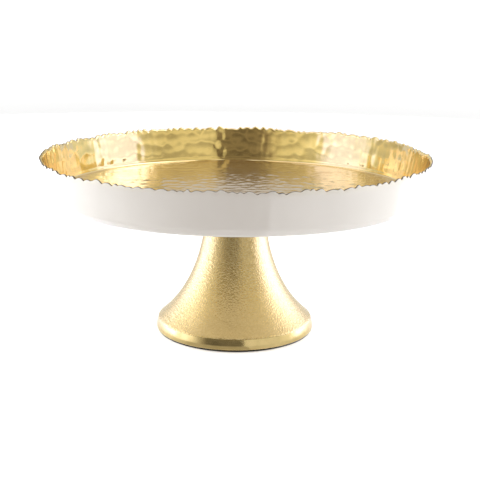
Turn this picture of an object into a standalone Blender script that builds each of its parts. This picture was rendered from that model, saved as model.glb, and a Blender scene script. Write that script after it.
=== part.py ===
"""A footed cake stand: a hammered metal tray with a torn edge and a white enamel outside, held by a stud, two
washers and a nut on a hollow cast pedestal with a felt ring under its foot.

Metres, +Z up. The origin is on the stand's axis, in the plane that it stands on.
"""

import math
import random

import bmesh
import bpy
from mathutils import Vector

# Driving dimensions
RIM_RADIUS = 0.1524  # outside of the enamel at the torn edge: a 12 inch tray
RIM_HEIGHT = 0.1412  # middle of the torn edge above the table
TRAY_UNDERSIDE = 0.1105
WALL_LEAN = 0.0038  # how much narrower the tray is at the foot of its wall
SHEET = 0.0012  # metal of the tray
COAT = 0.0005  # enamel
GAP = 0.0003  # left between pieces that touch
INNER_CORNER = 0.0016  # radius between the tray's floor and wall
TEAR_DEPTH = 0.0016  # half the height of the torn edge's teeth
STRAIGHT_WALL = 0.008  # the tear's ups and downs start this far above the corner
TEAR_SEED = 12
TEETH = 56
TRAY_STEPS = 168  # three to a tooth

FOOT_RADIUS = 0.0631
BAND_HEIGHT = 0.0102  # upper edge of the smooth band round the foot
BAND_BELLY = 0.0045  # height at which the band is widest
BAND_LEAN = 0.0014  # how much narrower it is at its upper edge
FOOT_ROUND = 0.0012
FOOT_WALL = 0.0075
NECK_RADIUS = 0.0231
NECK_STRAIGHT = 0.036  # pull of the flare's curve at the neck
FLARE_PULL = 0.037  # and at the band
FLARE_SLOPE = 39  # degrees from level, where the flare meets the band
CASTING_WALL = 0.0045
WEB = 0.006  # thickness of the casting's closed top
WEB_CORNER = 0.004  # radius between the web and the inside of the neck
PEDESTAL_STEPS = 56

PAD_THICKNESS = 0.001
PAD_INSET = 0.0012
PAD_WIDTH = 0.010

STUD_RADIUS = 0.004  # M8
STUD_FLANGE_RADIUS = 0.014
STUD_FLANGE = 0.002
STUD_SPARE = 0.003  # how far the stud stands out of its nut
STUD_CHAMFER = 0.0008
GASKET = 0.001
GASKET_WIDTH = 0.006
WASHER_RADIUS = 0.012
WASHER = 0.002
LOCK_WASHER_RADIUS = 0.0072
LOCK_WASHER = 0.002
NUT_ACROSS_FLATS = 0.013
NUT = 0.0065
NUT_CHAMFER_SLOPE = 30  # degrees
SPLIT_WIDTH = 0.0009
SPLIT_SLANT = 35  # degrees
SMALL_STEPS = 32

# Worked out from the driving dimensions
METAL_UNDERSIDE = TRAY_UNDERSIDE + COAT + GAP
FLOOR = METAL_UNDERSIDE + SHEET
WALL_FOOT_RADIUS = RIM_RADIUS - WALL_LEAN
BARE_RADIUS = STUD_FLANGE_RADIUS + 0.001  # the enamel stops here, where the stud is brazed on
GASKET_TOP = TRAY_UNDERSIDE - GAP
PEDESTAL_TOP = GASKET_TOP - GASKET - GAP
RECESS_RADIUS = STUD_FLANGE_RADIUS + 0.002
RECESS_FLOOR = METAL_UNDERSIDE - GAP - STUD_FLANGE - 0.003
WEB_UNDERSIDE = RECESS_FLOOR - WEB
HOLE_RADIUS = STUD_RADIUS + GAP
PEDESTAL_BOTTOM = PAD_THICKNESS + GAP
WASHER_TOP = WEB_UNDERSIDE - GAP
LOCK_WASHER_TOP = WASHER_TOP - WASHER - GAP
NUT_TOP = LOCK_WASHER_TOP - LOCK_WASHER - GAP
STUD_END = NUT_TOP - NUT - STUD_SPARE

GOLD = (0.83, 0.62, 0.27, 1.0)
CAST_GOLD = (0.78, 0.60, 0.30, 1.0)
ENAMEL_WHITE = (0.93, 0.92, 0.90, 1.0)
FELT_BLACK = (0.02, 0.02, 0.02, 1.0)
FIBRE_GREY = (0.18, 0.17, 0.16, 1.0)
ZINC = (0.62, 0.62, 0.64, 1.0)


def clear_scene():
    for thing in list(bpy.data.objects):
        bpy.data.objects.remove(thing, do_unlink=True)


def new_collection(name):
    collection = bpy.data.collections.new(name)
    bpy.context.scene.collection.children.link(collection)
    return collection


def material(name, colour, roughness, metallic):
    made = bpy.data.materials.new(name)
    made.use_nodes = True
    shader = made.node_tree.nodes["Principled BSDF"]
    shader.inputs["Base Color"].default_value = colour
    shader.inputs["Roughness"].default_value = roughness
    shader.inputs["Metallic"].default_value = metallic
    made.diffuse_color = colour
    return made


def arc(centre, radius, start_deg, end_deg, steps):
    """Points (r, z) round a centre, from one angle to the other, both included."""
    points = []
    for i in range(steps + 1):
        angle = math.radians(start_deg + (end_deg - start_deg) * i / steps)
        points.append((centre[0] + radius * math.cos(angle), centre[1] + radius * math.sin(angle)))
    return points


def bezier(start, start_handle, end_handle, end, steps):
    points = []
    for i in range(steps + 1):
        t = i / steps
        u = 1 - t
        weights = (u**3, 3 * u * u * t, 3 * u * t * t, t**3)
        corners = (start, start_handle, end_handle, end)
        points.append(tuple(sum(w * p[axis] for w, p in zip(weights, corners)) for axis in (0, 1)))
    return points


def offset_inwards(points, distance):
    """The same outline moved towards the axis side by a wall's thickness, square to the outline."""
    moved = []
    for i, point in enumerate(points):
        before = Vector(points[max(i - 1, 0)])
        after = Vector(points[min(i + 1, len(points) - 1)])
        along = (after - before).normalized()
        moved.append((point[0] + along[1] * distance, point[1] - along[0] * distance))
    return moved


def shade(mesh, angle_deg=35):
    mesh.shade_smooth()
    mesh.set_sharp_from_angle(angle=math.radians(angle_deg))


def turned(name, profile, steps, look, collection, closed):
    """A profile of (r, z) points turned round Z. A closed one is a ring; an open one starts and ends on the axis."""
    mesh = bpy.data.meshes.new(name)
    edges = [(i, i + 1) for i in range(len(profile) - 1)]
    if closed:
        edges.append((len(profile) - 1, 0))
    mesh.from_pydata([(r, 0.0, z) for r, z in profile], edges, [])
    piece = bpy.data.objects.new(name, mesh)
    collection.objects.link(piece)
    screw = piece.modifiers.new("Turn", "SCREW")
    screw.axis = "Z"
    screw.angle = 2 * math.pi
    screw.steps = steps
    screw.render_steps = steps
    screw.use_merge_vertices = True
    screw.merge_threshold = 0.00001
    screw.use_smooth_shade = True
    piece.data.materials.append(look)
    return piece


def made_mesh(piece, collection):
    """The same object with its modifiers worked into its mesh, so that single vertices can be moved."""
    bpy.context.view_layer.update()
    evaluated = piece.evaluated_get(bpy.context.evaluated_depsgraph_get())
    mesh = bpy.data.meshes.new_from_object(evaluated)
    name = piece.name
    bpy.data.objects.remove(piece, do_unlink=True)
    mesh.name = name
    whole = bpy.data.objects.new(name, mesh)
    collection.objects.link(whole)
    return whole


def cut(piece, cutter, operation="DIFFERENCE"):
    boolean = piece.modifiers.new(operation.title(), "BOOLEAN")
    boolean.operation = operation
    boolean.object = cutter
    boolean.solver = "EXACT"


def hide_cutter(cutter, collection):
    for home in list(cutter.users_collection):
        home.objects.unlink(cutter)
    collection.objects.link(cutter)
    cutter.hide_render = True
    cutter.display_type = "WIRE"


def torn_teeth():
    """Where the tear's notches are, as shares of a turn, and how deep each notch and how high each tooth is."""
    chance = random.Random(TEAR_SEED)
    starts = [(i + chance.uniform(-0.25, 0.25)) / TEETH for i in range(TEETH)]
    notches = [chance.uniform(-1.0, -0.3) for _ in range(TEETH)]
    tips = [chance.uniform(0.1, 1.0) for _ in range(TEETH)]
    return starts, notches, tips


def tear_height(turn, teeth):
    """Height of the torn edge at a share of a turn, from -1 in a deep notch to 1 on a high tooth."""
    starts, notches, tips = teeth
    place = (turn - starts[0]) % 1.0 + starts[0]
    tooth = max(i for i in range(TEETH) if starts[i] <= place)
    following = (tooth + 1) % TEETH
    end = starts[following] + (1.0 if following == 0 else 0.0)
    share = (place - starts[tooth]) / (end - starts[tooth])
    valley = notches[tooth] * (1 - share) + notches[following] * share
    return valley + (tips[tooth] - valley) * math.sin(math.pi * share)


def tear_edge(piece):
    """Lifts and drops the top of a turned wall, more the nearer it is to its edge."""
    teeth = torn_teeth()
    blend_from = FLOOR + INNER_CORNER + STRAIGHT_WALL
    for vertex in piece.data.vertices:
        share = (vertex.co.z - blend_from) / (RIM_HEIGHT - blend_from)
        if share > 0:
            turn = math.atan2(vertex.co.y, vertex.co.x) / (2 * math.pi)
            vertex.co.z += TEAR_DEPTH * tear_height(turn, teeth) * min(share, 1.0)


def wall_radius(z):
    """Outside of the enamel at a height: the wall leans out a little towards the rim."""
    share = (z - TRAY_UNDERSIDE) / (RIM_HEIGHT - TRAY_UNDERSIDE)
    return WALL_FOOT_RADIUS + WALL_LEAN * share


def wall_outline(inset, bottom, corner):
    """Out along the underside, round the corner and up the wall, this far inside the enamel's own outline."""
    centre = (wall_radius(bottom) - inset - corner, bottom + corner)
    wall = []
    for share in (0.5, 1.0):
        z = centre[1] + (RIM_HEIGHT - centre[1]) * share
        wall.append((wall_radius(z) - inset, z))
    return arc(centre, corner, -90, 0, 3) + wall


def make_tray(collection):
    inside = wall_outline(COAT + GAP + SHEET, FLOOR, INNER_CORNER)
    outside = wall_outline(COAT + GAP, METAL_UNDERSIDE, INNER_CORNER + SHEET)
    profile = [(0.0, FLOOR)] + inside + outside[::-1] + [(0.0, METAL_UNDERSIDE)]
    look = material("tray_gold", GOLD, 0.22, 1.0)
    tray = made_mesh(turned("tray", profile, TRAY_STEPS, look, collection, closed=False), collection)
    tear_edge(tray)
    shade(tray.data)


def make_enamel(collection):
    inside = wall_outline(COAT, TRAY_UNDERSIDE + COAT, INNER_CORNER + SHEET + GAP)
    outside = wall_outline(0.0, TRAY_UNDERSIDE, INNER_CORNER + SHEET + GAP + COAT)
    bare_edge = [(BARE_RADIUS, TRAY_UNDERSIDE), (BARE_RADIUS, TRAY_UNDERSIDE + COAT)]
    profile = inside + outside[::-1] + bare_edge
    look = material("enamel_white", ENAMEL_WHITE, 0.12, 0.0)
    enamel = made_mesh(turned("tray_enamel", profile, TRAY_STEPS, look, collection, closed=True), collection)
    tear_edge(enamel)
    shade(enamel.data)


def flare():
    """The trumpet's outline, from the neck's top down to the upper edge of the foot's band."""
    neck = (NECK_RADIUS, PEDESTAL_TOP)
    band_edge = (FOOT_RADIUS - BAND_LEAN, BAND_HEIGHT)
    slope = math.radians(FLARE_SLOPE)
    neck_handle = (neck[0], neck[1] - NECK_STRAIGHT)
    band_handle = (band_edge[0] - FLARE_PULL * math.cos(slope), band_edge[1] + FLARE_PULL * math.sin(slope))
    return bezier(neck, neck_handle, band_handle, band_edge, 12)


def make_pedestal(collection):
    outside = flare()
    foot = [(FOOT_RADIUS, BAND_BELLY)]
    foot += arc((FOOT_RADIUS - FOOT_ROUND, PEDESTAL_BOTTOM + FOOT_ROUND), FOOT_ROUND, 0, -90, 3)
    inner_foot = [(FOOT_RADIUS - FOOT_WALL, PEDESTAL_BOTTOM)]
    inside = offset_inwards(outside, CASTING_WALL)
    inside = [(r, z) for r, z in inside if z < WEB_UNDERSIDE - WEB_CORNER and r < FOOT_RADIUS - FOOT_WALL]
    web_corner = arc((inside[0][0] - WEB_CORNER, WEB_UNDERSIDE - WEB_CORNER), WEB_CORNER, 0, 90, 2)
    hole = [(HOLE_RADIUS, WEB_UNDERSIDE), (HOLE_RADIUS, RECESS_FLOOR)]
    recess = [(RECESS_RADIUS, RECESS_FLOOR), (RECESS_RADIUS, PEDESTAL_TOP)]
    profile = hole + recess + outside + foot + inner_foot + inside[::-1] + web_corner
    look = material("cast_gold", CAST_GOLD, 0.38, 1.0)
    pedestal = turned("pedestal", profile, PEDESTAL_STEPS, look, collection, closed=True)
    shade(pedestal.data)


def make_ring(name, inner, outer, bottom, top, look, collection, steps=SMALL_STEPS):
    profile = [(inner, bottom), (inner, top), (outer, top), (outer, bottom)]
    return turned(name, profile, steps, look, collection, closed=True)


def make_pad(collection):
    outer = FOOT_RADIUS - PAD_INSET
    look = material("felt_black", FELT_BLACK, 0.95, 0.0)
    make_ring("foot_pad", outer - PAD_WIDTH, outer, 0.0, PAD_THICKNESS, look, collection, PEDESTAL_STEPS)


def make_stud(collection, zinc):
    flange_top = METAL_UNDERSIDE - GAP
    profile = [
        (0.0, flange_top),
        (STUD_FLANGE_RADIUS, flange_top),
        (STUD_FLANGE_RADIUS, flange_top - STUD_FLANGE),
        (STUD_RADIUS, flange_top - STUD_FLANGE),
        (STUD_RADIUS, STUD_END + STUD_CHAMFER),
        (STUD_RADIUS - STUD_CHAMFER, STUD_END),
        (0.0, STUD_END),
    ]
    turned("weld_stud", profile, SMALL_STEPS, zinc, collection, closed=False)


def make_lock_washer(collection, cutters, zinc):
    bottom = LOCK_WASHER_TOP - LOCK_WASHER
    ring = make_ring("lock_washer", HOLE_RADIUS, LOCK_WASHER_RADIUS, bottom, LOCK_WASHER_TOP, zinc, collection)
    bpy.ops.mesh.primitive_cube_add(size=1.0)
    split = bpy.context.object
    split.name = "lock_washer_split"
    split.scale = (LOCK_WASHER_RADIUS, SPLIT_WIDTH, 4 * LOCK_WASHER)
    split.location = (LOCK_WASHER_RADIUS, 0.0, bottom + LOCK_WASHER / 2)
    split.rotation_euler = (math.radians(SPLIT_SLANT), 0.0, 0.0)
    hide_cutter(split, cutters)
    cut(ring, split)


def make_nut(collection, cutters, zinc):
    corner_radius = NUT_ACROSS_FLATS / math.sqrt(3)
    bpy.ops.mesh.primitive_cylinder_add(vertices=6, radius=corner_radius, depth=NUT)
    nut = bpy.context.object
    nut.name = "hex_nut"
    nut.location = (0.0, 0.0, NUT_TOP - NUT / 2)
    nut.data.materials.append(zinc)
    for home in list(nut.users_collection):
        home.objects.unlink(nut)
    collection.objects.link(nut)
    face_radius = NUT_ACROSS_FLATS / 2
    over = 0.001  # how far the chamfering solid stands past the nut's ends
    slope = math.tan(math.radians(NUT_CHAMFER_SLOPE))
    end_radius = face_radius - over / slope
    side_radius = face_radius + 2 * (corner_radius - face_radius)
    fall = (side_radius - face_radius) * slope
    rounded = [
        (0.0, NUT_TOP + over),
        (end_radius, NUT_TOP + over),
        (side_radius, NUT_TOP - fall),
        (side_radius, NUT_TOP - NUT + fall),
        (end_radius, NUT_TOP - NUT - over),
        (0.0, NUT_TOP - NUT - over),
    ]
    chamfer = turned("nut_chamfer", rounded, SMALL_STEPS, zinc, collection, closed=False)
    hide_cutter(chamfer, cutters)
    cut(nut, chamfer, "INTERSECT")
    bpy.ops.mesh.primitive_cylinder_add(vertices=SMALL_STEPS, radius=HOLE_RADIUS, depth=3 * NUT)
    bore = bpy.context.object
    bore.name = "nut_bore"
    bore.location = nut.location
    hide_cutter(bore, cutters)
    cut(nut, bore)


def make_fastening(collection, cutters):
    zinc = material("zinc_steel", ZINC, 0.35, 1.0)
    fibre = material("gasket_fibre", FIBRE_GREY, 0.9, 0.0)
    gasket_outer = NECK_RADIUS - 0.0008
    gasket_bottom = GASKET_TOP - GASKET
    gasket_inner = gasket_outer - GASKET_WIDTH
    make_ring("seat_gasket", gasket_inner, gasket_outer, gasket_bottom, GASKET_TOP, fibre, collection)
    make_stud(collection, zinc)
    make_ring("flat_washer", HOLE_RADIUS, WASHER_RADIUS, WASHER_TOP - WASHER, WASHER_TOP, zinc, collection)
    make_lock_washer(collection, cutters, zinc)
    make_nut(collection, cutters, zinc)


def main():
    clear_scene()
    stand = new_collection("cake_stand")
    cutters = new_collection("cutters")
    make_tray(stand)
    make_enamel(stand)
    make_pedestal(stand)
    make_pad(stand)
    make_fastening(stand, cutters)


main()
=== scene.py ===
"""The looks of the cake stand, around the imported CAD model: a hammered gold tray with a torn edge, its white
enamel coat, and a sand-cast gold pedestal on a felt ring. Metres, +Z up, origin under the stand's axis."""

import math
import random

import bpy
import numpy as np
from mathutils import Matrix, Vector, noise
from mathutils.kdtree import KDTree


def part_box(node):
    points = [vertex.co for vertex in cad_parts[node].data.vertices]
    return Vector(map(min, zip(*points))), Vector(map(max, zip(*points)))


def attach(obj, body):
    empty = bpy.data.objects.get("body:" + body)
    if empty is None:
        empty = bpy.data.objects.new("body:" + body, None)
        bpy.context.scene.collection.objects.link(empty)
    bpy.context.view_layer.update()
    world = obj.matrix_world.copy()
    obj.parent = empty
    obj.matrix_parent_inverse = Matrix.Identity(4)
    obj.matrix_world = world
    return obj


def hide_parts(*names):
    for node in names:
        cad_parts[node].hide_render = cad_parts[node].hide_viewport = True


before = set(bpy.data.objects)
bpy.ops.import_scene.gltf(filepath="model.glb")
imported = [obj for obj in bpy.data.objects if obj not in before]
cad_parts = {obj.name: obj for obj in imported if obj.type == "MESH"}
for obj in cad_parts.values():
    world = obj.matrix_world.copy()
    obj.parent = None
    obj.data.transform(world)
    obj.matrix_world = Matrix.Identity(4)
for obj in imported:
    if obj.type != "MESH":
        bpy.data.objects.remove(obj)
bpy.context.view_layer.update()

# Sizes read from the frame
ENAMEL_LOW, ENAMEL_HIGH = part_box("tray_enamel")
PEDESTAL_LOW, PEDESTAL_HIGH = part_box("pedestal")
PAD_LOW, PAD_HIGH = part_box("foot_pad")
RIM_RADIUS = ENAMEL_HIGH.x
UNDERSIDE = ENAMEL_LOW.z

# The tray. Its sheet and coat almost touch, and together are as thick as the CAD model's two with their gap
RIM_HEIGHT = 0.1412  # middle of the torn edge
WALL_LEAN = 0.0038  # how much narrower the tray is at its underside
COAT = 0.0006  # enamel
SHEET = 0.0014  # metal
FOOT_SPREAD = 0.0020  # the metal is this much thicker at the foot of the wall
INNER_CORNER = 0.0015  # radius between the floor and the wall
FLOOR = UNDERSIDE + COAT + SHEET
BARE_RADIUS = 0.015  # the enamel stops here, where the stud is brazed on
TRAY_STEPS = 960  # points round it

# Its torn edge, where the metal and the coat thin out
TEETH = 140
TEAR_DEPTH = 0.0021  # about half the tear's height, lowest to highest
EDGE_SHEET = 0.0008
EDGE_COAT = 0.0003
EDGE_THINNING = 0.0011  # the metal thins over this height
BURR = 0.0002  # lowest to highest, along the torn metal
TORN_CREST = 0.00006  # the torn metal is highest in the middle of its thickness
TORN_DROP = 0.0001  # and lowest on its outer side
METAL_BEHIND_COAT = 0.0007  # the outer face of the metal starts this far below the edge
BELOW_EDGE = 0.004  # and its rings are level from this far below the edge
COAT_DROP = 0.00008  # the coat's edge is this far below the metal's
COAT_LIP = 0.00014  # rounding of the coat's edge
COAT_BACK_DROP = 0.00005  # of the coat's inner corner, which is just outside the metal's face
COAT_BACK_GAP = 0.00003
CHIP_LEAST = 0.00002  # depth of the enamel's chips
CHIP_FINE = 0.00014
CHIP_DEEP = 0.0004
CHIPPED_FROM = 0.66  # deep chips start at this level of a wave that runs from 0 to 1 round the edge

# Its hammer marks
FLOOR_PITCH = 0.0016  # of the mesh's rows
WALL_PITCH = 0.0012
FLOOR_DENT = 0.0086  # from the middle of one mark to the next
FLOOR_DENT_RADIUS = 0.033  # of the dish that the hammer leaves
FLOOR_FADE = 0.008  # the marks fade out over this distance from the corner
WALL_DENT = 0.0105
WALL_DENT_RADIUS = 0.13
WALL_DENT_WIDTH = 1.25  # width of a mark, as a share of its height
WALL_FADE = 0.005
DISH_SPREAD = (0.75, 1.45)  # of the dishes' radii, as shares of the ones above
DISH_UNEVENNESS = 0.00005  # from the lightest blow to the hardest
RIDGE_SOFTNESS = 0.000035
WRINKLE = 0.0004  # of the upright wrinkles in the wall, lowest to highest
WRINKLE_LEAST = 0.25  # their share at the front and back, where there are fewest

# The pedestal, with part.py's sizes
FOOT_RADIUS = PEDESTAL_HIGH.x
BAND_HEIGHT = 0.0102  # upper edge of the smooth band round the foot
BAND_BELLY = 0.0045  # height at which the band is widest
BAND_LEAN = 0.0014  # how much narrower it is at its upper edge
FOOT_ROUND = 0.0012
FOOT_WALL = 0.0075
NECK_RADIUS = 0.0231
NECK_STRAIGHT = 0.036  # pull of the flare's curve at the neck
FLARE_PULL = 0.037  # and at the band
FLARE_SLOPE = 39  # degrees from level, where the flare meets the band
CASTING_WALL = 0.0045
WEB = 0.006  # thickness of the casting's closed top
WEB_CORNER = 0.004
RECESS_RADIUS = 0.016
RECESS_DEPTH = 0.0029
HOLE_RADIUS = 0.0043
PAD_WIDTH = 0.010
PAD_ROUND = 0.00035
PEDESTAL_STEPS = 480  # points round it
FLARE_STEPS = 138  # rows down it
HOLLOW_STEPS = 34  # rows of its inside
PAD_STEPS = 240

# Its skin: how deep the sand's grain is
FLARE_GRAIN = 0.00007
FLARE_GRAIN_ROWS = 4  # it starts over this many rows below the neck
EDGE_GRAIN = 0.00002
BAND_GRAIN = 0.000012
INSIDE_GRAIN = 0.00012
BAND_EDGE_INSET = 0.0009  # of the middle of the rounding between flare and band
BAND_EDGE_ROUND = 0.0011
BAND_EDGE_STEPS = 5
BAND_ROWS = 8

# The camera, fitted to the photograph's view
CAMERA_BACK = 0.816
CAMERA_HEIGHT = 0.2753
CAMERA_PITCH = 13.96  # degrees down
CAMERA_YAW = 0.26
CAMERA_ROLL = 0.6
CAMERA_LENS = 78.75

# The card that the stand mirrors. Its stops are (turn, brightness), and a turn is in degrees from the
# camera's side towards +X. Each zone starts at a height, and heights between two zones mix them
CARD_RADIUS = 0.205
CARD_REACH = 160  # degrees to each side
CARD_STEP = 2
CARD_GAP = 0.0003  # from the foot to the card's first row
CARD_LIFT = 0.0004  # of that row, over the floor
CARD_EDGE = 11.5  # turn of the hard edge from dark to bright
CARD_HIGH_EDGE = 14.2
EDGE_DARK, EDGE_BRIGHT = CARD_EDGE - 0.05, CARD_EDGE + 0.05
HIGH_EDGE_DARK, HIGH_EDGE_BRIGHT = CARD_HIGH_EDGE - 0.05, CARD_HIGH_EDGE + 0.05
# The card's row on the floor by the foot, which only mirrors see: painted shade of the floor, darkest in front
# of the camera and as bright as the floor to the sides
CARD_TABLE_SHADE_STOPS = (
    (-160, 1.0), (-62, 0.95), (-38, 0.55), (-22, 0.42), (EDGE_DARK, 0.42), (EDGE_BRIGHT, 0.60),
    (50, 0.72), (72, 0.95), (160, 1.0),
)
CARD_FOOT_STOPS = (
    (-160, 0.9), (-132, 1.0), (-120, 2.4), (-84, 2.4), (-76, 1.2), (-66, 1.4), (-57, 1.15),
    (-49, 0.75), (-42, 0.38), (-34, 0.15), (-22, 0.13), (-10, 0.17), (EDGE_DARK, 0.15),
    (EDGE_BRIGHT, 0.74), (42, 0.76), (50, 0.68), (76, 0.86), (90, 2.4), (122, 2.4), (134, 1.0),
    (160, 0.9),
)
CARD_LOW_STOPS = (
    (-160, 0.75), (-136, 0.85), (-124, 1.4), (-116, 4.2), (-82, 4.2), (-73, 1.5), (-66, 1.0),
    (-57, 0.74), (-49, 0.50), (-42, 0.50), (-34, 0.48), (-22, 0.47), (EDGE_DARK, 0.47),
    (EDGE_BRIGHT, 0.70), (42, 0.70), (50, 0.62), (71, 0.62), (77, 3.6), (118, 3.8), (128, 1.0),
    (160, 0.75),
)
CARD_MIDDLE_STOPS = (
    (-160, 0.8), (-126, 0.8), (-114, 0.95), (-90, 1.05), (-76, 0.86), (-60, 0.76), (-52, 0.64),
    (-45, 0.62), (-38, 0.42), (-30, 0.26), (-22, 0.22), (EDGE_DARK, 0.18), (EDGE_BRIGHT, 0.66),
    (50, 0.62), (66, 0.66), (76, 1.7), (88, 2.3), (112, 2.1), (126, 0.95), (160, 0.8),
)
CARD_HIGH_STOPS = (
    (-160, 0.49), (-134, 0.58), (-120, 1.2), (-86, 1.45), (-74, 0.86), (-56, 0.70), (-40, 0.62),
    (-34, 0.54), (-27, 0.30), (-21, 0.20), (HIGH_EDGE_DARK, 0.20), (HIGH_EDGE_BRIGHT, 0.55),
    (25, 0.68), (36, 0.67), (64, 0.62), (83, 0.78), (93, 1.38), (128, 1.38), (140, 0.77),
    (160, 0.67),
)
CARD_OVERHEAD_STOPS = (
    (-160, 1.0), (-104, 1.0), (-84, 0.82), (-30, 0.80), (-21, 1.15), (HIGH_EDGE_DARK, 1.1),
    (HIGH_EDGE_BRIGHT, 1.0), (80, 1.0), (100, 1.9), (160, 1.9),
)
CARD_ZONES = (
    (0.0, CARD_TABLE_SHADE_STOPS), (0.0005, CARD_FOOT_STOPS), (0.045, CARD_FOOT_STOPS),
    (0.060, CARD_LOW_STOPS), (0.072, CARD_LOW_STOPS), (0.084, CARD_MIDDLE_STOPS),
    (0.113, CARD_MIDDLE_STOPS), (0.125, CARD_HIGH_STOPS),
)
CARD_LOW_HEIGHTS = [0.0, 0.0005, 0.045, 0.06, 0.072, 0.084, 0.113]
CARD_RIPPLE_HEIGHTS = [0.125 + 0.0075 * i for i in range(15)]
CARD_TOP_HEIGHTS = [0.24, 0.25, 0.27, 0.30, 0.36, 0.44, 0.54, 0.66, 0.80, 1.0]
CARD_HEIGHTS = CARD_LOW_HEIGHTS + CARD_RIPPLE_HEIGHTS + CARD_TOP_HEIGHTS
CARD_TRAY_LEVEL = 0.12  # the tray mirrors only what is above this
CARD_RIPPLE = 0.30
CARD_RIPPLE_HALF = 0.04  # half a wave
CARD_OVERHEAD = (0.24, 0.30)  # the tray's floor mirrors what is above these heights, by way of the wall

# The studio
STUDIO_FLOOR_RADIUS = 30.0
DOME_RADIUS = 1.4
DOME_STEP = 12  # degrees

# Where a noise texture's values mostly lie, for a spread of roughness and for a spread of colour
NOISE_SPAN = (0.3, 0.7)
NOISE_CORE = (0.35, 0.65)


# ---------------------------------------------------------------- mesh building


def faces_between(a, n, b, m):
    """Faces between n points that start at a and m that start at b, where m is n, half of n or twice n."""
    faces = []
    if n == m:
        for i in range(n):
            j = (i + 1) % n
            faces.append((a + i, b + i, b + j, a + j))
    elif n == 2 * m:
        for i in range(m):
            j = (i + 1) % m
            left, mid, right = a + 2 * i, a + 2 * i + 1, a + (2 * i + 2) % n
            faces.append((left, b + i, mid))
            faces.append((mid, b + i, b + j))
            faces.append((mid, b + j, right))
    else:
        for i in range(n):
            j = (i + 1) % n
            left, mid, right = b + 2 * i, b + 2 * i + 1, b + (2 * i + 2) % m
            faces.append((a + i, left, mid))
            faces.append((a + i, mid, a + j))
            faces.append((a + j, mid, right))
    return faces


def joined_rings(rings, middle_first=None, middle_last=None, loop=False):
    """Points and faces of a skin over a stack of rings, and where each row of faces starts and ends."""
    points = [p for row in rings for p in row]
    starts = np.cumsum([0] + [len(row) for row in rings])
    faces = []
    rows = []
    pairs = [(i, i + 1) for i in range(len(rings) - 1)]
    if loop:
        pairs.append((len(rings) - 1, 0))
    for upper, lower in pairs:
        row_start = len(faces)
        faces += faces_between(starts[upper], len(rings[upper]), starts[lower], len(rings[lower]))
        rows.append((row_start, len(faces)))
    if middle_first is not None:
        centre = len(points)
        points.append(middle_first)
        n = len(rings[0])
        faces += [(centre, i, (i + 1) % n) for i in range(n)]
    if middle_last is not None:
        centre = len(points)
        points.append(middle_last)
        n, a = len(rings[-1]), starts[len(rings) - 1]
        faces += [(centre, a + (i + 1) % n, a + i) for i in range(n)]
    return points, faces, rows


def mesh_piece(name, points, faces, materials, sharp_deg=40):
    mesh = bpy.data.meshes.new(name)
    mesh.from_pydata([tuple(p) for p in points], [], [tuple(int(i) for i in f) for f in faces])
    mesh.validate()
    for look in materials:
        mesh.materials.append(look)
    mesh.shade_smooth()
    mesh.set_sharp_from_angle(angle=math.radians(sharp_deg))
    piece = bpy.data.objects.new(name, mesh)
    bpy.context.scene.collection.objects.link(piece)
    return piece


def circle_angles(count):
    return np.arange(count) * (2 * math.pi / count)


def ring(radius, height, count):
    """Points of a ring. Radius and height are numbers, or arrays with a value for each point."""
    angles = circle_angles(count)
    x = radius * np.cos(angles)
    y = radius * np.sin(angles)
    z = height + np.zeros(count)
    return np.stack([x, y, z], axis=1)


def arc(centre, radius, start_deg, end_deg, steps):
    points = []
    for i in range(steps + 1):
        angle = math.radians(start_deg + (end_deg - start_deg) * i / steps)
        points.append((centre[0] + radius * math.cos(angle), centre[1] + radius * math.sin(angle)))
    return points


# ---------------------------------------------------------------- hammered tray


class Dents:
    """Hammer marks: each point belongs to the nearest blows, and each blow leaves a shallow round dish."""

    def __init__(self, centres, dish_radius, seed):
        chance = random.Random(seed)
        self.tree = KDTree(len(centres))
        for i, centre in enumerate(centres):
            self.tree.insert(centre, i)
        self.tree.balance()
        self.depths = [chance.uniform(0.0, 1.0) * DISH_UNEVENNESS for _ in centres]
        self.radii = [dish_radius * chance.uniform(*DISH_SPREAD) for _ in centres]

    def height(self, place):
        """Soft minimum over the nearest dishes, so that the ridges between them are slightly rounded."""
        total = 0.0
        for _, index, distance in self.tree.find_n(place, 4):
            dish = distance * distance / (2 * self.radii[index]) - self.depths[index]
            total += math.exp(-dish / RIDGE_SOFTNESS)
        return -RIDGE_SOFTNESS * math.log(total)


def floor_blows(radius):
    """Middles of the blows over the floor: a grid with every other row shifted, scattered."""
    chance = random.Random(31)
    centres = []
    rows = int(radius / FLOOR_DENT) + 1
    row_pitch = 0.866 * FLOOR_DENT
    scatter = 0.33 * FLOOR_DENT
    for i in range(-rows, rows + 1):
        for j in range(-rows, rows + 1):
            x = (i + 0.5 * (j % 2)) * FLOOR_DENT + chance.uniform(-scatter, scatter)
            y = j * row_pitch + chance.uniform(-scatter, scatter)
            if math.hypot(x, y) < radius + FLOOR_DENT:
                centres.append(Vector((x, y, 0.0)))
    return centres


def wall_blows(radius, bottom, top):
    """Middles of the blows round the wall, with heights stretched, so that round dishes come out wide."""
    chance = random.Random(47)
    columns = int(2 * math.pi * radius / WALL_DENT)
    rows = int((top - bottom) / WALL_DENT * WALL_DENT_WIDTH) + 3
    centres = []
    for j in range(-1, rows):
        for i in range(columns):
            turn = (i + 0.5 * (j % 2) + chance.uniform(-0.36, 0.36)) / columns * 2 * math.pi
            z = bottom + (j + 0.3 + chance.uniform(-0.3, 0.3)) * WALL_DENT / WALL_DENT_WIDTH
            centres.append(Vector((radius * math.cos(turn), radius * math.sin(turn), z * WALL_DENT_WIDTH)))
    return centres


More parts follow.
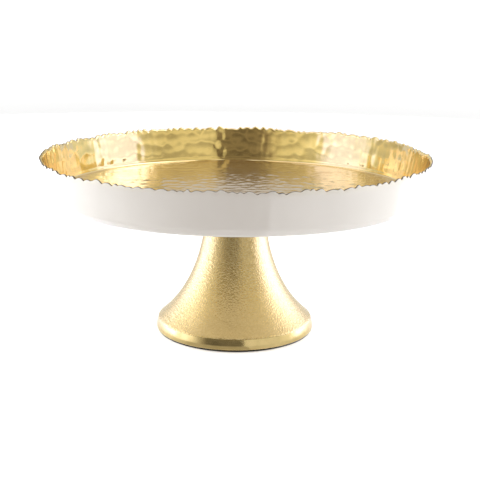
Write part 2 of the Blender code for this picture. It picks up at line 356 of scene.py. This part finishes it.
def torn_edge(count):
    """Height of the torn edge round the tray, from about -1 to 1, for each of count points."""
    chance = random.Random(12)
    starts = sorted((i + chance.uniform(-0.38, 0.38)) / TEETH for i in range(TEETH))
    valleys = [chance.uniform(-0.95, -0.05) for _ in range(TEETH)]
    tips = [chance.uniform(0.1, 1.0) for _ in range(TEETH)]
    leans = [chance.uniform(0.65, 1.55) for _ in range(TEETH)]
    drift = [chance.uniform(0, 2 * math.pi) for _ in range(4)]
    heights = np.zeros(count)
    for i in range(count):
        turn = i / count
        place = turn if turn >= starts[0] else turn + 1.0
        tooth = max(k for k in range(TEETH) if starts[k] <= place)
        following = (tooth + 1) % TEETH
        end = starts[following] + (1.0 if following == 0 else 0.0)
        share = (place - starts[tooth]) / (end - starts[tooth])
        valley = valleys[tooth] * (1 - share) + valleys[following] * share
        bump = math.sin(math.pi * share ** leans[tooth]) ** 0.55 if 0 < share < 1 else 0.0
        slow = sum(math.sin((5 + 7 * k) * turn * 2 * math.pi + drift[k]) for k in range(4)) * 0.09
        heights[i] = (valley + (tips[tooth] - valley) * bump) * 0.9 + slow
    softened = 0.6 * heights + 0.2 * (np.roll(heights, 1) + np.roll(heights, -1))
    return np.clip(1.1 * softened, -1.1, 1.0)


def jitter(count, seed, passes):
    """Smooth random values from 0 to 1 round a ring."""
    chance = random.Random(seed)
    values = np.array([chance.random() for _ in range(count)])
    for _ in range(passes):
        values = (np.roll(values, 1) + values + np.roll(values, -1)) / 3
    low, high = values.min(), values.max()
    return (values - low) / (high - low)


def wall_radius(z):
    """Radius of the enamel's outer face."""
    return RIM_RADIUS - WALL_LEAN * (RIM_HEIGHT - z) / (RIM_HEIGHT - UNDERSIDE)


def wall_heights(bottom, edge_heights, pitch):
    """Each row's heights, from the wall's corner up. The rows are closer together at the torn edge."""
    rows = round((RIM_HEIGHT - bottom) / pitch)
    shares = [i / rows for i in range(1, rows - 1)] + [1 - k / rows for k in (1.5, 1.0, 0.6, 0.25, 0.0)]
    for share in shares:
        yield bottom + (RIM_HEIGHT - bottom) * share + edge_heights * share**2


def floor_rings(flat_edge):
    """Rings over the hammered floor, from near its middle to the edge of the flat."""
    dents = Dents(floor_blows(flat_edge), FLOOR_DENT_RADIUS, 5)
    rings = []
    count = 15
    radius = FLOOR_PITCH
    while flat_edge - radius >= 1.6 * FLOOR_PITCH:
        while count * 2 <= TRAY_STEPS and 2 * math.pi * radius / count > 1.45 * FLOOR_PITCH:
            count *= 2
        points = ring(radius, FLOOR, count)
        fade = min(1.0, (flat_edge - radius) / FLOOR_FADE)
        for p in points:
            p[2] += dents.height(Vector((p[0], p[1], 0.0))) * fade
        rings.append(points)
        radius += FLOOR_PITCH
    while count < TRAY_STEPS:
        count *= 2
        rings.append(ring(radius, FLOOR, count))
    rings.append(ring(flat_edge, FLOOR, TRAY_STEPS))
    return rings


def wall_rings(edge, bottom):
    """Rings up the hammered wall, from above its corner to the torn edge."""
    inset = COAT + SHEET
    thinning = inset - EDGE_SHEET - EDGE_COAT
    dents = Dents(wall_blows(wall_radius(RIM_HEIGHT) - inset, bottom, RIM_HEIGHT), WALL_DENT_RADIUS, 6)
    sideways = np.abs(np.cos(circle_angles(TRAY_STEPS))) ** 1.5
    drawn_in = WRINKLE * (WRINKLE_LEAST + (1 - WRINKLE_LEAST) * sideways)
    low_wrinkles = drawn_in * (jitter(TRAY_STEPS, 61, 2) - 0.5)
    high_wrinkles = drawn_in * (jitter(TRAY_STEPS, 62, 2) - 0.5)
    rings = []
    for z in wall_heights(bottom, edge * TEAR_DEPTH, WALL_PITCH):
        rise = (z - bottom) / (RIM_HEIGHT - bottom)
        spread = FOOT_SPREAD * np.clip(1 - rise, 0, 1) ** 1.2
        from_edge = RIM_HEIGHT + edge * TEAR_DEPTH - z
        thinned = np.clip(1 - from_edge / EDGE_THINNING, 0, 1) ** 2 * thinning
        wrinkles = low_wrinkles * (1 - rise) + high_wrinkles * rise
        points = ring(wall_radius(z) - inset - spread + thinned, z, TRAY_STEPS)
        for p, wrinkle in zip(points, wrinkles):
            fade = min(1.0, (p[2] - bottom) / WALL_FADE)
            place = Vector((p[0], p[1], p[2] * WALL_DENT_WIDTH))
            dent = (dents.height(place) + wrinkle) * fade
            p[:2] *= 1.0 - dent / math.hypot(p[0], p[1])
        rings.append(points)
    return rings


def tray_inside(edge):
    """Rings over the tray's inner face, up to its torn edge, and how many of them are the floor's."""
    corner = (wall_radius(FLOOR) - COAT - SHEET - FOOT_SPREAD - INNER_CORNER, FLOOR + INNER_CORNER)
    floor = floor_rings(corner[0])
    bend = [ring(r, z, TRAY_STEPS) for r, z in arc(corner, INNER_CORNER, -90, 0, 7)[1:]]
    return floor + bend + wall_rings(edge, corner[1]), len(floor)


def torn_rings(top):
    """Rings over the torn edge, from the inner face's last ring and down behind the coat."""
    radius_out = wall_radius(RIM_HEIGHT) - EDGE_COAT
    middle_radius = (np.hypot(top[:, 0], top[:, 1]) + radius_out) / 2
    burr = (jitter(TRAY_STEPS, 71, 1) - 0.5) * BURR
    return [
        ring(middle_radius, top[:, 2] + TORN_CREST + burr, TRAY_STEPS),
        ring(radius_out, top[:, 2] - TORN_DROP + burr, TRAY_STEPS),
        ring(radius_out, top[:, 2] - METAL_BEHIND_COAT - chip_depths(), TRAY_STEPS),
    ]


def tray_outside(metal_bottom):
    """Rings down the metal's outer face and in over its underside."""
    outer_corner = INNER_CORNER + SHEET
    corner = (wall_radius(metal_bottom) - COAT - outer_corner, metal_bottom + outer_corner)
    outside = []
    for share in (1.0, 0.66, 0.33, 0.0):
        z = corner[1] + (RIM_HEIGHT - BELOW_EDGE - corner[1]) * share
        outside.append(ring(wall_radius(z) - COAT, z, TRAY_STEPS))
    for r, z in arc(corner, outer_corner, 0, -90, 5)[1:]:
        outside.append(ring(r, z, TRAY_STEPS))
    count = TRAY_STEPS
    radius = corner[0]
    while count > 60:
        count //= 2
        radius *= 0.62
        outside.append(ring(radius, metal_bottom, count))
    return outside


def make_tray(gold, dull_shaded_gold, raw):
    inside, floor_rows = tray_inside(torn_edge(TRAY_STEPS))
    metal_bottom = UNDERSIDE + COAT
    rings = inside + torn_rings(inside[-1]) + tray_outside(metal_bottom)
    points, faces, rows = joined_rings(
        rings, middle_first=(0.0, 0.0, rings[0][0][2]), middle_last=(0.0, 0.0, metal_bottom)
    )
    faces = [tuple(reversed(f)) for f in faces]
    piece = mesh_piece("hammered_tray", points, faces, [gold, raw, dull_shaded_gold])
    first_raw = rows[len(inside) - 1][0]
    last_raw = rows[len(inside) + 2][1]
    indices = np.zeros(len(piece.data.polygons), np.int32)
    indices[first_raw:last_raw] = 1
    # The floor and the fan at its middle take the gold that is painted darker and greyer as shade
    indices[:rows[floor_rows - 2][1]] = 2
    indices[rows[-1][1]:rows[-1][1] + len(rings[0])] = 2
    piece.data.polygons.foreach_set("material_index", indices)
    return piece


def chip_depths():
    """How far the enamel stops short of the metal's edge: a hair, or more where it has chipped."""
    fine = jitter(TRAY_STEPS, 81, 2)
    patches = np.clip((jitter(TRAY_STEPS, 82, 12) - CHIPPED_FROM) / (1 - CHIPPED_FROM), 0, 1)
    return CHIP_LEAST + CHIP_FINE * fine + CHIP_DEEP * patches


def enamel_face(edge, corner, outer_corner):
    """Rings down the coat's outer face: its torn edge, the wall, the corner and the underside."""
    rim = wall_radius(RIM_HEIGHT)
    top = RIM_HEIGHT + edge
    rings = [
        ring(rim - EDGE_COAT + COAT_BACK_GAP, top - COAT_BACK_DROP, TRAY_STEPS),
        ring(rim - EDGE_COAT / 2, top, TRAY_STEPS),
        ring(rim - COAT_LIP * 0.3, top - COAT_LIP * 0.3, TRAY_STEPS),
        ring(rim, top - COAT_LIP, TRAY_STEPS),
    ]
    rows = 9
    for i in range(1, rows + 1):
        share = 1 - i / rows
        z = corner[1] + (RIM_HEIGHT - corner[1]) * share + (edge - COAT_LIP) * share**2.2
        rings.append(ring(wall_radius(z), z, TRAY_STEPS))
    for r, z in arc(corner, outer_corner, 0, -90, 9)[1:]:
        rings.append(ring(r, z, TRAY_STEPS))
    count = TRAY_STEPS
    radius = corner[0]
    while count > 120:
        count //= 2
        radius *= 0.6
        rings.append(ring(radius, UNDERSIDE, count))
    rings.append(ring(BARE_RADIUS, UNDERSIDE, count))
    return rings


def enamel_back(edge, corner, metal_corner, count):
    """Rings up the coat's inner face, which almost touches the metal."""
    depth = COAT * 0.9
    rings = [ring(BARE_RADIUS, UNDERSIDE + depth, count)]
    radius = BARE_RADIUS
    while count < TRAY_STEPS:
        count *= 2
        radius = min(radius * 1.9, corner[0] * 0.97)
        rings.append(ring(radius, UNDERSIDE + depth, count))
    for r, z in arc((corner[0], UNDERSIDE + depth + metal_corner), metal_corner, -90, 0, 5):
        rings.append(ring(r, z, TRAY_STEPS))
    for share in (0.4, 0.8):
        z = corner[1] + (RIM_HEIGHT - corner[1]) * share
        rings.append(ring(wall_radius(z) - depth, z + edge * share**2.2, TRAY_STEPS))
    return rings


def make_enamel(white):
    edge = torn_edge(TRAY_STEPS) * TEAR_DEPTH - chip_depths() - COAT_DROP
    metal_corner = INNER_CORNER + SHEET
    outer_corner = metal_corner + COAT
    corner = (wall_radius(UNDERSIDE) - outer_corner, UNDERSIDE + outer_corner)
    face = enamel_face(edge, corner, outer_corner)
    back = enamel_back(edge, corner, metal_corner, len(face[-1]))
    points, faces, _ = joined_rings(face + back, loop=True)
    return mesh_piece("enamel_coat", points, faces, [white])


# ---------------------------------------------------------------- pedestal


def bezier(start, start_handle, end_handle, end, steps):
    corners = (start, start_handle, end_handle, end)
    points = []
    for i in range(steps + 1):
        t = i / steps
        u = 1 - t
        weights = (u**3, 3 * u * u * t, 3 * u * t * t, t**3)
        points.append(tuple(sum(w * p[axis] for w, p in zip(weights, corners)) for axis in (0, 1)))
    return points


def flare(steps):
    """The trumpet's outline from the neck down to the band."""
    neck = (NECK_RADIUS, PEDESTAL_HIGH.z)
    band_edge = (FOOT_RADIUS - BAND_LEAN, BAND_HEIGHT)
    slope = math.radians(FLARE_SLOPE)
    neck_handle = (neck[0], neck[1] - NECK_STRAIGHT)
    band_handle = (band_edge[0] - FLARE_PULL * math.cos(slope), band_edge[1] + FLARE_PULL * math.sin(slope))
    return bezier(neck, neck_handle, band_handle, band_edge, steps)


def offset_inwards(points, distance):
    moved = []
    for i, point in enumerate(points):
        before = Vector(points[max(i - 1, 0)])
        after = Vector(points[min(i + 1, len(points) - 1)])
        step = (after - before).normalized()
        moved.append((point[0] + step[1] * distance, point[1] - step[0] * distance))
    return moved


def grain(place):
    """The pebbled skin that casting sand leaves, from about -1 to 1."""
    coarse = noise.noise(place * 420)
    fine = noise.noise(place * 900 + Vector((7.1, 3.3, 1.7)))
    slow = noise.noise(place * 70 + Vector((1.3, 5.9, 4.1)))
    return 0.55 * coarse + 0.45 * fine + 0.5 * slow


def grained_ring(r, z, depth):
    """A ring of the casting, with grain up to this deep."""
    points = ring(r, z, PEDESTAL_STEPS)
    if depth > 0:
        for p in points:
            scale = 1.0 + grain(Vector(p)) * depth / r
            p[0] *= scale
            p[1] *= scale
    return points


def web_points():
    """Up the stud's hole and over the recess in the casting's top."""
    recess_floor = PEDESTAL_HIGH.z - RECESS_DEPTH
    return [
        (HOLE_RADIUS, recess_floor - WEB),
        (HOLE_RADIUS, recess_floor),
        (RECESS_RADIUS, recess_floor),
        (RECESS_RADIUS, PEDESTAL_HIGH.z),
    ]


def belly_points(top):
    """Down the band from its upper edge to where it is widest."""
    points = []
    for i in range(1, BAND_ROWS + 1):
        share = i / BAND_ROWS
        bulge = share * (1.25 - 0.25 * share)
        points.append((top[0] + (FOOT_RADIUS - top[0]) * bulge, top[1] + (BAND_BELLY - top[1]) * share))
    return points


def hollow_points(web_bottom):
    """Up the inside of the casting, as far as the corner under its web."""
    inside = offset_inwards(flare(HOLLOW_STEPS), CASTING_WALL)
    open_part = [(r, z) for r, z in inside if z < web_bottom - WEB_CORNER and r < FOOT_RADIUS - FOOT_WALL]
    return open_part[::-1]


def make_pedestal(cast, band):
    bottom = PEDESTAL_LOW.z
    web = web_points()
    web_bottom = web[0][1]
    edge_centre = (FOOT_RADIUS - BAND_LEAN - BAND_EDGE_INSET, BAND_HEIGHT - BAND_EDGE_INSET)
    edge = arc(edge_centre, BAND_EDGE_ROUND, 42, 8, BAND_EDGE_STEPS)
    foot_round = arc((FOOT_RADIUS - FOOT_ROUND, bottom + FOOT_ROUND), FOOT_ROUND, 0, -90, 5)
    hollow = hollow_points(web_bottom)
    web_corner = arc((hollow[-1][0] - WEB_CORNER, web_bottom - WEB_CORNER), WEB_CORNER, 0, 90, 5)
    rows = [(point, 0) for point in web]
    for i, point in enumerate(flare(FLARE_STEPS)[:-1]):
        rows.append((point, FLARE_GRAIN * min(1.0, i / FLARE_GRAIN_ROWS)))
    rows += [(point, EDGE_GRAIN) for point in edge]
    band_start = len(rows) - 1
    rows += [(point, BAND_GRAIN) for point in belly_points(edge[-1])]
    rows += [(point, 0) for point in foot_round]
    band_end = len(rows) - 1
    rows.append(((FOOT_RADIUS - FOOT_WALL, bottom), 0))
    rows += [(point, INSIDE_GRAIN) for point in hollow]
    rows += [(point, 0) for point in web_corner]
    rings = [grained_ring(r, z, depth) for (r, z), depth in rows]
    points, faces, face_rows = joined_rings(rings, loop=True)
    piece = mesh_piece("cast_pedestal", points, faces, [cast, band], sharp_deg=50)
    indices = np.zeros(len(piece.data.polygons), np.int32)
    indices[face_rows[band_start][0]:face_rows[band_end - 1][1]] = 1
    piece.data.polygons.foreach_set("material_index", indices)
    return piece


def make_pad(felt):
    outer = PAD_HIGH.x
    inner = outer - PAD_WIDTH
    low, high = PAD_LOW.z, PAD_HIGH.z
    top = PEDESTAL_LOW.z
    soft = PAD_ROUND
    profile = arc((outer - soft, top - soft), soft, 90, 0, 3)
    profile += arc((outer - soft, low + soft), soft, 0, -90, 3)
    profile += arc((inner + soft, low + soft), soft, -90, -180, 3)
    profile += arc((inner + soft, top - soft), soft, 180, 90, 3)
    rings = [ring(r, z, PAD_STEPS) for r, z in profile]
    points, faces, _ = joined_rings(rings, loop=True)
    return mesh_piece("felt_ring", points, faces, [felt])


# ---------------------------------------------------------------- materials


def new_material(name):
    made = bpy.data.materials.new(name)
    made.use_nodes = True
    return made, made.node_tree.nodes, made.node_tree.links, made.node_tree.nodes["Principled BSDF"]


def noise_texture(nodes, links, scale, detail=3.0, roughness=0.5):
    place = nodes.new("ShaderNodeTexCoord")
    texture = nodes.new("ShaderNodeTexNoise")
    texture.inputs["Scale"].default_value = scale
    texture.inputs["Detail"].default_value = detail
    texture.inputs["Roughness"].default_value = roughness
    links.new(place.outputs["Object"], texture.inputs["Vector"])
    return texture


def colour_range(nodes, links, source, low, high):
    ramp = nodes.new("ShaderNodeValToRGB")
    for element, place, colour in zip(ramp.color_ramp.elements, NOISE_CORE, (low, high)):
        element.position = place
        element.color = (*colour, 1.0)
    links.new(source, ramp.inputs["Fac"])
    return ramp.outputs["Color"]


def value_range(nodes, links, source, low, high):
    spread = nodes.new("ShaderNodeMapRange")
    spread.inputs["From Min"].default_value = NOISE_SPAN[0]
    spread.inputs["From Max"].default_value = NOISE_SPAN[1]
    spread.inputs["To Min"].default_value = low
    spread.inputs["To Max"].default_value = high
    links.new(source, spread.inputs["Value"])
    return spread.outputs["Result"]


def bumped(nodes, links, source, strength, distance):
    bump = nodes.new("ShaderNodeBump")
    bump.inputs["Strength"].default_value = strength
    bump.inputs["Distance"].default_value = distance
    links.new(source, bump.inputs["Height"])
    return bump.outputs["Normal"]


def hammered_gold(name, dark, pale, smoothest, roughest):
    made, nodes, links, shader = new_material(name)
    shader.inputs["Metallic"].default_value = 1.0
    tone = noise_texture(nodes, links, 60, 2.0)
    links.new(colour_range(nodes, links, tone.outputs["Fac"], dark, pale), shader.inputs["Base Color"])
    rub = noise_texture(nodes, links, 240, 3.0)
    rubbed = value_range(nodes, links, rub.outputs["Fac"], smoothest, roughest)
    links.new(rubbed, shader.inputs["Roughness"])
    fine = noise_texture(nodes, links, 900, 2.0)
    links.new(bumped(nodes, links, fine.outputs["Fac"], 0.12, 0.0001), shader.inputs["Normal"])
    return made


def wall_gold():
    return hammered_gold("hammered_gold", (0.90, 0.735, 0.43), (0.93, 0.765, 0.46), 0.06, 0.11)


def shaded_floor_gold():
    """Duller than the wall's gold, and darker and greyer: painted shade over the tray's floor."""
    return hammered_gold("hammered_floor_gold", (0.66, 0.55, 0.405), (0.69, 0.58, 0.43), 0.15, 0.23)


def raw_edge():
    made, nodes, links, shader = new_material("raw_torn_edge")
    shader.inputs["Metallic"].default_value = 0.7
    tone = noise_texture(nodes, links, 700, 3.0)
    links.new(
        colour_range(nodes, links, tone.outputs["Fac"], (0.035, 0.028, 0.022), (0.12, 0.09, 0.06)),
        shader.inputs["Base Color"],
    )
    links.new(value_range(nodes, links, tone.outputs["Fac"], 0.4, 0.65), shader.inputs["Roughness"])
    links.new(bumped(nodes, links, tone.outputs["Fac"], 0.5, 0.0002), shader.inputs["Normal"])
    return made


def white_enamel():
    made, nodes, links, shader = new_material("white_enamel")
    shader.inputs["IOR"].default_value = 1.6
    shader.inputs["Specular IOR Level"].default_value = 0.8
    shader.inputs["Coat Weight"].default_value = 0.5
    shader.inputs["Coat Roughness"].default_value = 0.04
    tone = noise_texture(nodes, links, 25, 2.0)
    links.new(
        colour_range(nodes, links, tone.outputs["Fac"], (0.585, 0.56, 0.53), (0.605, 0.58, 0.55)),
        shader.inputs["Base Color"],
    )
    links.new(value_range(nodes, links, tone.outputs["Fac"], 0.07, 0.11), shader.inputs["Roughness"])
    peel = noise_texture(nodes, links, 220, 1.0)
    links.new(bumped(nodes, links, peel.outputs["Fac"], 0.04, 0.0002), shader.inputs["Normal"])
    return made


def cast_gold():
    made, nodes, links, shader = new_material("sand_cast_gold")
    shader.inputs["Metallic"].default_value = 1.0
    tone = noise_texture(nodes, links, 500, 3.0, 0.6)
    links.new(
        colour_range(nodes, links, tone.outputs["Fac"], (0.61, 0.465, 0.21), (0.70, 0.54, 0.25)),
        shader.inputs["Base Color"],
    )
    links.new(value_range(nodes, links, tone.outputs["Fac"], 0.15, 0.23), shader.inputs["Roughness"])
    pebble = noise_texture(nodes, links, 780, 2.0, 0.6)
    links.new(bumped(nodes, links, pebble.outputs["Fac"], 0.9, 0.0004), shader.inputs["Normal"])
    return made


def band_gold():
    made, nodes, links, shader = new_material("turned_gold_band")
    shader.inputs["Metallic"].default_value = 1.0
    tone = noise_texture(nodes, links, 150, 3.0)
    links.new(
        colour_range(nodes, links, tone.outputs["Fac"], (0.83, 0.63, 0.27), (0.90, 0.69, 0.31)),
        shader.inputs["Base Color"],
    )
    links.new(value_range(nodes, links, tone.outputs["Fac"], 0.12, 0.19), shader.inputs["Roughness"])
    fine = noise_texture(nodes, links, 1200, 2.0)
    links.new(bumped(nodes, links, fine.outputs["Fac"], 0.15, 0.0002), shader.inputs["Normal"])
    return made


def black_felt():
    made, nodes, links, shader = new_material("black_felt")
    shader.inputs["Sheen Weight"].default_value = 0.3
    tone = noise_texture(nodes, links, 1500, 4.0, 0.7)
    links.new(
        colour_range(nodes, links, tone.outputs["Fac"], (0.008, 0.008, 0.009), (0.035, 0.034, 0.033)),
        shader.inputs["Base Color"],
    )
    links.new(value_range(nodes, links, tone.outputs["Fac"], 0.85, 1.0), shader.inputs["Roughness"])
    links.new(bumped(nodes, links, tone.outputs["Fac"], 0.8, 0.0004), shader.inputs["Normal"])
    return made


def zinc_steel():
    made, nodes, links, shader = new_material("zinc_plated_steel")
    shader.inputs["Metallic"].default_value = 1.0
    tone = noise_texture(nodes, links, 400, 3.0)
    links.new(
        colour_range(nodes, links, tone.outputs["Fac"], (0.52, 0.52, 0.53), (0.66, 0.66, 0.68)),
        shader.inputs["Base Color"],
    )
    links.new(value_range(nodes, links, tone.outputs["Fac"], 0.25, 0.42), shader.inputs["Roughness"])
    links.new(bumped(nodes, links, tone.outputs["Fac"], 0.2, 0.0001), shader.inputs["Normal"])
    return made


def pressed_fibre():
    made, nodes, links, shader = new_material("pressed_fibre")
    tone = noise_texture(nodes, links, 900, 4.0, 0.7)
    links.new(
        colour_range(nodes, links, tone.outputs["Fac"], (0.10, 0.095, 0.09), (0.22, 0.21, 0.20)),
        shader.inputs["Base Color"],
    )
    links.new(value_range(nodes, links, tone.outputs["Fac"], 0.8, 0.95), shader.inputs["Roughness"])
    links.new(bumped(nodes, links, tone.outputs["Fac"], 0.4, 0.0002), shader.inputs["Normal"])
    return made


def use_material(node, look):
    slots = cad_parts[node].material_slots
    if not slots:
        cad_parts[node].data.materials.append(look)
    for slot in slots:
        slot.material = look


# ---------------------------------------------------------------- studio


def pale_floor():
    made, nodes, links, shader = new_material("pale_floor")
    tone = noise_texture(nodes, links, 3, 2.0)
    links.new(
        colour_range(nodes, links, tone.outputs["Fac"], (0.96, 0.96, 0.96), (0.98, 0.98, 0.98)),
        shader.inputs["Base Color"],
    )
    shader.inputs["Roughness"].default_value = 0.9
    shader.inputs["Specular IOR Level"].default_value = 0.1
    return made


def glowing(name, colour, strength):
    made = bpy.data.materials.new(name)
    made.use_nodes = True
    nodes, links = made.node_tree.nodes, made.node_tree.links
    nodes.clear()
    glow = nodes.new("ShaderNodeEmission")
    glow.inputs["Color"].default_value = (*colour, 1.0)
    glow.inputs["Strength"].default_value = strength
    out = nodes.new("ShaderNodeOutputMaterial")
    links.new(glow.outputs["Emission"], out.inputs["Surface"])
    return made


def make_floor():
    bpy.ops.mesh.primitive_circle_add(vertices=128, radius=STUDIO_FLOOR_RADIUS, fill_type="NGON")
    floor = bpy.context.object
    floor.name = "studio_floor"
    floor.data.materials.append(pale_floor())


def stage_panel(name, points, columns, rows, look, mirrors_only):
    """A lit panel of the studio, unseen by the camera. One that only mirrors see gives no light or shadow."""
    faces = []
    for i in range(columns):
        for j in range(rows):
            a = i * (rows + 1) + j
            faces.append((a, a + 1, a + rows + 2, a + rows + 1))
    mesh = bpy.data.meshes.new(name)
    mesh.from_pydata(points, [], faces)
    mesh.materials.append(look)
    piece = bpy.data.objects.new(name, mesh)
    bpy.context.scene.collection.objects.link(piece)
    piece.visible_camera = False
    if mirrors_only:
        piece.visible_diffuse = False
        piece.visible_shadow = False
    return piece


def dome_panel(name, start_deg, end_deg, low_deg, high_deg, look):
    """Part of a dome over the stand. Degrees count from the camera's side towards +X, and up from level."""
    columns = max(2, round((end_deg - start_deg) / DOME_STEP))
    rows = max(2, round((high_deg - low_deg) / DOME_STEP))
    points = []
    for i in range(columns + 1):
        turn = math.radians(start_deg + (end_deg - start_deg) * i / columns)
        for j in range(rows + 1):
            rise = math.radians(low_deg + (high_deg - low_deg) * j / rows)
            flat = DOME_RADIUS * math.cos(rise)
            points.append((flat * math.sin(turn), -flat * math.cos(turn), DOME_RADIUS * math.sin(rise)))
    stage_panel(name, points, columns, rows, look, mirrors_only=False)


def between(place, stops):
    """A value read from rising (place, value) stops, straight between them."""
    for (low, low_value), (high, high_value) in zip(stops, stops[1:]):
        if place <= high:
            share = max(0.0, (place - low) / (high - low))
            return low_value + (high_value - low_value) * share
    return stops[-1][1]


def tray_glow(turn_deg, z, value):
    """The card's colour where the tray mirrors it: golden where dim, nearly white where bright."""
    far_round = between(turn_deg, ((120, 0.0), (140, 1.0)))
    green = between(value, ((0.2, 0.80), (0.6, 0.89), (1.3, 0.98))) + 0.06 * far_round
    blue = between(value, ((0.2, 0.44), (0.6, 0.49), (0.85, 0.57), (1.3, 1.10))) + 0.14 * far_round
    ripple = 1.0 + CARD_RIPPLE * math.sin((z - CARD_TRAY_LEVEL) / CARD_RIPPLE_HALF * math.pi)
    overhead = between(turn_deg, CARD_OVERHEAD_STOPS)
    low, high = CARD_OVERHEAD
    value *= ripple * between(z, ((low, 1.0), (high, overhead)))
    return (value, value * green, value * blue, 1.0)


def card_glow(turn_deg, z):
    """The card's colour: dark in front of the camera, with a hard edge on the right and a soft one left."""
    value = between(z, [(height, between(turn_deg, stops)) for height, stops in CARD_ZONES])
    if z > CARD_TRAY_LEVEL:
        return tray_glow(turn_deg, z, value)
    warmth = max(0.0, min(1.0, (0.7 - value) / 0.4))
    coolness = max(0.0, min(1.0, value - 1.0))
    green = 1 - 0.05 * warmth
    blue = 1 - 0.14 * warmth + 0.5 * coolness
    return (value, value * green, value * blue, 1.0)


def near_card():
    """A curved card round the stand that only mirrors see. Its first row lies on the floor by the foot, as
    painted shade of the floor there.
    """
    turns = list(range(-CARD_REACH, CARD_REACH + 1, CARD_STEP))
    for edge in (CARD_EDGE, CARD_HIGH_EDGE):
        turns += [edge - 0.1, edge + 0.1]
    turns.sort()
    points, glows = [], []
    for turn_deg in turns:
        turn = math.radians(turn_deg)
        for z in CARD_HEIGHTS:
            radius = CARD_RADIUS if z > 0 else FOOT_RADIUS + CARD_GAP
            points.append((radius * math.sin(turn), -radius * math.cos(turn), max(z, CARD_LIFT)))
            glows.append(card_glow(turn_deg, z))
    look = glowing("near_card", (1.0, 1.0, 1.0), 1.0)
    nodes, links = look.node_tree.nodes, look.node_tree.links
    painted = nodes.new("ShaderNodeAttribute")
    painted.attribute_name = "glow"
    links.new(painted.outputs["Color"], nodes["Emission"].inputs["Color"])
    piece = stage_panel("near_card", points, len(turns) - 1, len(CARD_HEIGHTS) - 1, look, mirrors_only=True)
    layer = piece.data.color_attributes.new("glow", "FLOAT_COLOR", "POINT")
    for i, glow in enumerate(glows):
        layer.data[i].color = glow


def make_world():
    world = bpy.data.worlds.new("studio_white")
    bpy.context.scene.world = world
    world.use_nodes = True
    background = world.node_tree.nodes["Background"]
    background.inputs["Color"].default_value = (1.0, 1.0, 1.0, 1.0)
    background.inputs["Strength"].default_value = 1.12


def make_studio():
    make_floor()
    make_world()
    near_card()
    room = glowing("dim_room", (1.0, 0.87, 0.76), 0.44)
    ceiling = glowing("ceiling", (1.0, 0.96, 0.92), 1.25)
    dome_panel("front_room", -75, 75, 0.5, 50, room)
    dome_panel("ceiling", 0, 360, 50, 90, ceiling)
    dome_panel("back_room", 125, 235, 0.5, 50, glowing("back_room", (1.0, 0.99, 0.97), 0.70))
    dome_panel("left_box", -125, -75, 2, 40, glowing("left_softbox", (0.95, 0.98, 1.0), 9.4))
    dome_panel("right_box", 75, 125, 2, 40, glowing("right_softbox", (0.95, 0.98, 1.0), 9.0))


def make_camera():
    data = bpy.data.cameras.new("photo_camera")
    data.sensor_width = 36
    data.lens = CAMERA_LENS
    data.clip_start = 0.02
    data.clip_end = 50
    camera = bpy.data.objects.new("photo_camera", data)
    turn = Matrix.Rotation(math.radians(-CAMERA_YAW), 4, "Z")
    tilt = Matrix.Rotation(math.radians(90 - CAMERA_PITCH), 4, "X")
    roll = Matrix.Rotation(math.radians(CAMERA_ROLL), 4, "Z")
    camera.matrix_world = Matrix.Translation((0, -CAMERA_BACK, CAMERA_HEIGHT)) @ turn @ tilt @ roll
    bpy.context.scene.collection.objects.link(camera)
    bpy.context.scene.camera = camera
    bpy.context.scene.view_settings.view_transform = "Standard"


def main():
    make_camera()
    tray = make_tray(wall_gold(), shaded_floor_gold(), raw_edge())
    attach(tray, "root")
    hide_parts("tray")
    enamel = make_enamel(white_enamel())
    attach(enamel, "root")
    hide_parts("tray_enamel")
    pedestal = make_pedestal(cast_gold(), band_gold())
    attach(pedestal, "root")
    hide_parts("pedestal")
    pad = make_pad(black_felt())
    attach(pad, "root")
    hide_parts("foot_pad")
    zinc = zinc_steel()
    for node in ("weld_stud", "flat_washer", "lock_washer", "hex_nut"):
        use_material(node, zinc)
    use_material("seat_gasket", pressed_fibre())
    make_studio()


main()
